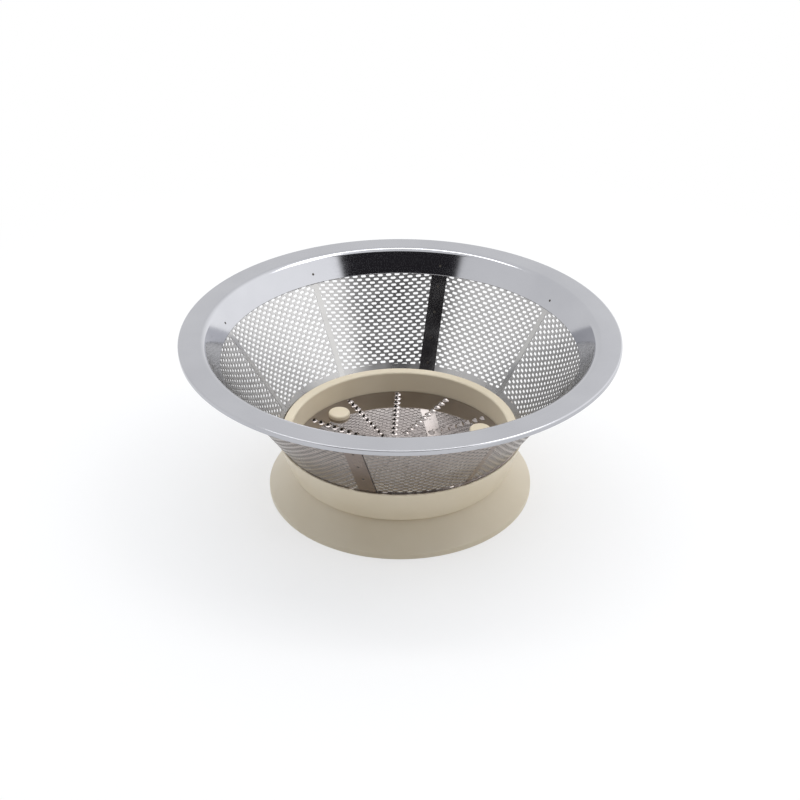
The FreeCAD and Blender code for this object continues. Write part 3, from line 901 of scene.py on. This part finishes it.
def make_hairlines():
    """Sparse fine scratches in two directions."""
    inputs = {"Density": SCRATCH_DENSITY, "Sparse": SCRATCH_RANGE[0]}
    group, enter, leave = new_group("hairlines", inputs, ["Scratches"])
    place = object_place(group)
    masks = []
    for turn in SCRATCH_TURNS:
        laid = add_node(
            group, "ShaderNodeMapping", Vector=place, Rotation=(0, 0, turn), Scale=SCRATCH_STRETCH
        )
        noise = add_node(
            group,
            "ShaderNodeTexNoise",
            Vector=laid.outputs[0],
            Scale=enter.outputs["Density"],
            Detail=SCRATCH_DETAIL,
        )
        sparse = enter.outputs["Sparse"]
        masks.append(map_range(group, noise.outputs[0], From_Min=sparse, From_Max=SCRATCH_RANGE[1]))
    group.links.new(add_math(group, "MAXIMUM", *masks), leave.inputs["Scratches"])
    return group


def place_group(tree, group, **values):
    node = tree.nodes.new("ShaderNodeGroup")
    node.node_tree = group
    for key, given in values.items():
        node.inputs[key].default_value = given
    return node.outputs[0]


def new_material(name):
    material = bpy.data.materials.new(name)
    material.use_nodes = True
    return material, material.node_tree, material.node_tree.nodes["Principled BSDF"]


def mix_colours(tree, share, first, second):
    """Colour between two, each a colour or a link."""
    mix = tree.nodes.new("ShaderNodeMix")
    mix.data_type = "RGBA"
    sockets = {socket.identifier: socket for socket in mix.inputs}
    tree.links.new(share, sockets["Factor_Float"])
    for identifier, given in (("A_Color", first), ("B_Color", second)):
        if isinstance(given, bpy.types.NodeSocket):
            tree.links.new(given, sockets[identifier])
        else:
            sockets[identifier].default_value = (*given, 1)
    return next(socket for socket in mix.outputs if socket.identifier == "Result_Color")


def set_finish(tree, shader, tones, tone_mask, roughness, roughness_mask):
    """Base colour between two tones, and roughness between two ends, each with its own mask."""
    tree.links.new(mix_colours(tree, tone_mask, *tones), shader.inputs["Base Color"])
    rough = map_range(tree, roughness_mask, To_Min=roughness[0], To_Max=roughness[1])
    tree.links.new(rough, shader.inputs["Roughness"])


def add_bump(tree, shader, height, strength, depth):
    bump = add_node(tree, "ShaderNodeBump", Height=height, Strength=strength, Distance=depth * MM)
    tree.links.new(bump.outputs["Normal"], shader.inputs["Normal"])


def make_rim_steel(soft_patches, turned_lines):
    """Bright pressed steel with faint lines round the flange."""
    material, tree, shader = new_material("rim_steel")
    shader.inputs["Metallic"].default_value = 1.0
    patches = place_group(tree, soft_patches, Size=RIM_PATCHES)
    lines = place_group(tree, turned_lines, Fineness=RIM_LINES)
    set_finish(tree, shader, RIM_TONES, patches, RIM_ROUGHNESS, lines)
    add_bump(tree, shader, lines, STEEL_BUMP, BUMP_DEPTH)
    return material


def make_sheet_steel(name, soft_patches, tones, roughness, size=SCREEN_PATCHES):
    """Steel of the screen and its welds: tone and gloss go together, in patches."""
    material, tree, shader = new_material(name)
    shader.inputs["Metallic"].default_value = 1.0
    patches = place_group(tree, soft_patches, Size=size)
    set_finish(tree, shader, tones, patches, roughness, patches)
    return material


def make_disc_steel(soft_patches, hairlines):
    """Mirror polish with hairline scratches; its tones are darkened and warmed as painted shade and a
    painted warm cast on what it mirrors.
    """
    material, tree, shader = new_material("disc_steel")
    shader.inputs["Metallic"].default_value = 1.0
    patches = place_group(tree, soft_patches, Size=DISC_PATCHES)
    scratches = place_group(tree, hairlines)
    set_finish(tree, shader, DISC_PAINTED_SHADE_TONES, patches, DISC_ROUGHNESS, scratches)
    add_bump(tree, shader, scratches, STEEL_BUMP, -BUMP_DEPTH)
    return material


def make_cream_plastic(soft_patches):
    """Cream moulded plastic: slightly uneven gloss and tone."""
    material, tree, shader = new_material("cream_plastic")
    shader.inputs["Specular IOR Level"].default_value = CREAM_SPECULAR
    patches = place_group(tree, soft_patches, Size=CREAM_PATCHES)
    set_finish(tree, shader, CREAM_TONES, patches, CREAM_ROUGHNESS, patches)
    grain = place_group(tree, soft_patches, Size=CREAM_GRAIN, Detail=GRAIN_DETAIL)
    add_bump(tree, shader, grain, CREAM_BUMP, BUMP_DEPTH)
    return material


def dress(piece, material, node=None):
    """Gives a piece its finish, or leaves its own, and hangs it on the CAD frame."""
    if material:
        piece.data.materials.clear()
        piece.data.materials.append(material)
    smooth(piece)
    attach(piece, "root")
    if node:
        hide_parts(node)


def shown_rays(tree, *names):
    """1 for the named kinds of ray, 0 for the others."""
    paths = add_node(tree, "ShaderNodeLightPath").outputs
    share = paths[names[0]]
    for name in names[1:]:
        share = add_math(tree, "MAXIMUM", share, paths[name])
    return share


def make_floor():
    """Pale floor that shows the soft shadow of the object."""
    deselect()
    bpy.ops.mesh.primitive_circle_add(vertices=FLOOR_SIDES, radius=FLOOR_RADIUS, fill_type="NGON")
    floor = named(bpy.context.object, "floor")
    material, tree, shader = new_material("floor_white")
    shader.inputs["Base Color"].default_value = FLOOR_COLOUR
    shader.inputs["Roughness"].default_value = 1.0
    shader.inputs["Specular IOR Level"].default_value = 0.0
    glow = add_node(tree, "ShaderNodeEmission", Color=(*WHITE, 1), Strength=1.0)
    shown = shown_rays(tree, "Is Camera Ray", "Is Glossy Ray", "Is Transmission Ray")
    distance = add_node(tree, "ShaderNodeVectorMath", "LENGTH", _0=object_place(tree))
    fade = map_range(
        tree,
        distance.outputs["Value"],
        From_Min=SHADOW_REACH[0],
        From_Max=SHADOW_REACH[1],
        To_Min=FLOOR_GLOW,
        To_Max=1.0,
    )
    share = add_math(tree, "MULTIPLY", shown, fade)
    mix = add_node(tree, "ShaderNodeMixShader", _0=share, _1=shader.outputs[0], _2=glow.outputs[0])
    tree.links.new(mix.outputs[0], tree.nodes["Material Output"].inputs["Surface"])
    floor.data.materials.append(material)


def edge_mask(tree, source, start, end):
    """Goes from 0 to 1 as the source goes from start to end."""
    return map_range(tree, source, From_Min=start, From_Max=end)


def make_world():
    """White room, brighter on the right and dark behind the camera, plain white where it is seen."""
    world = bpy.data.worlds.new("room")
    world.use_nodes = True
    bpy.context.scene.world = world
    tree = world.node_tree
    towards = (CAMERA_PLACE - CAMERA_AIM).normalized()
    heading = add_node(tree, "ShaderNodeTexCoord").outputs["Generated"]
    parts = add_node(tree, "ShaderNodeSeparateXYZ", _0=heading).outputs
    right = edge_mask(tree, parts["X"], *RIGHT_SIDE)
    near = add_node(tree, "ShaderNodeVectorMath", "DOT_PRODUCT", _0=heading, _1=towards)
    dim = edge_mask(
        tree, near.outputs["Value"], math.cos(DIM_SIDE + DIM_EDGE), math.cos(DIM_SIDE - DIM_EDGE)
    )
    light = mix_colours(tree, right, ROOM_LEFT, ROOM_RIGHT)
    light = mix_colours(tree, dim, light, ROOM_DARK)
    across = add_math(tree, "ABSOLUTE", parts["X"])
    card = add_math(tree, "LESS_THAN", parts["Y"], 0.0)
    for edge in (
        edge_mask(tree, across, CARD_WIDTH[1], CARD_WIDTH[0]),
        edge_mask(tree, parts["Z"], *CARD_BOTTOM),
        edge_mask(tree, parts["Z"], CARD_TOP[1], CARD_TOP[0]),
    ):
        card = add_math(tree, "MULTIPLY", card, edge)
    mirrored = mix_colours(tree, right, WHITE, BRIGHT_SIDE)
    mirrored = mix_colours(tree, card, mirrored, ROOM_DARK)
    polished = shown_rays(tree, "Is Glossy Ray", "Is Transmission Ray")
    room = mix_colours(tree, polished, light, mirrored)
    seen = mix_colours(tree, shown_rays(tree, "Is Camera Ray"), room, WHITE)
    tree.links.new(seen, tree.nodes["Background"].inputs["Color"])


def aim(item, place):
    """Puts a lamp or the camera in its place, facing the object."""
    item.location = place
    item.rotation_euler = (CAMERA_AIM - Vector(place)).to_track_quat("-Z", "Y").to_euler()
    bpy.context.collection.objects.link(item)


def add_lamp(name, place, width, depth, power, mirrored):
    """Soft lamp that faces the object. Polished steel shows it where it is mirrored."""
    lamp = bpy.data.lights.new(name, "AREA")
    lamp.shape = "RECTANGLE"
    lamp.size = width
    lamp.size_y = depth
    lamp.energy = power
    holder = bpy.data.objects.new(name, lamp)
    holder.visible_glossy = mirrored
    aim(holder, place)


def make_camera():
    lens = bpy.data.cameras.new("camera")
    lens.lens = CAMERA_LENS
    lens.sensor_width = CAMERA_SENSOR
    lens.sensor_fit = "HORIZONTAL"
    lens.clip_start = CAMERA_NEAR
    camera = bpy.data.objects.new("camera", lens)
    aim(camera, CAMERA_PLACE)
    bpy.context.scene.camera = camera


# Finishes
soft_patches = make_soft_patches()
rim_steel = make_rim_steel(soft_patches, make_turned_lines())
# The disc's tones are darkened and warmed: painted shade and a painted warm cast on its reflections
disc_steel = make_disc_steel(soft_patches, make_hairlines())
weld_steel = make_sheet_steel("weld_steel", soft_patches, WELD_TONES, WELD_ROUGHNESS, WELD_PATCHES)
cream_plastic = make_cream_plastic(soft_patches)
screen_finishes = [
    make_sheet_steel(name, soft_patches, tones, roughness)
    for name, tones, roughness in (
        ("slotted_steel", SLOTTED_TONES, SLOTTED_ROUGHNESS),
        ("plain_steel", PLAIN_TONES, PLAIN_ROUGHNESS),
        # outer finish: darker, browner tones, a painted reflection of the shaded cream foot and floor
        ("outer_steel_painted_shade", OUTER_PAINTED_SHADE_TONES, OUTER_ROUGHNESS),
        # seam finish: darker and browner still, the same painted reflection of the shaded cream foot
        ("seam_steel_painted_shade", SEAM_PAINTED_SHADE_TONES, OUTER_ROUGHNESS),
        ("cut_steel", CUT_TONES, CUT_ROUGHNESS),
    )
]

# Pieces
flat_sheet = make_flat_sheet()
right_half = make_screen_half(
    "mesh_half_right_steel", flat_sheet, SEAM_AZIMUTH + 180, 0.0, screen_finishes
)
left_half = make_screen_half(
    "mesh_half_left_steel", flat_sheet, SEAM_AZIMUTH, MESH_SHEET + FIT_GAP, screen_finishes
)
bpy.data.objects.remove(flat_sheet, do_unlink=True)
dress(make_rim(), rim_steel, "rim_ring")
dress(right_half, None, "mesh_half_right")
dress(left_half, None, "mesh_half_left")
dress(make_base_ring(), cream_plastic, "base_ring")
dress(make_drive_foot(), cream_plastic, "drive_foot")
dress(make_grater_disc(), disc_steel, "grater_disc")
dress(make_weld_spots(), weld_steel)

# Stage
make_floor()
make_world()
for lamp in LAMPS:
    add_lamp(*lamp)
make_camera()
bpy.context.scene.view_settings.view_transform = "Standard"
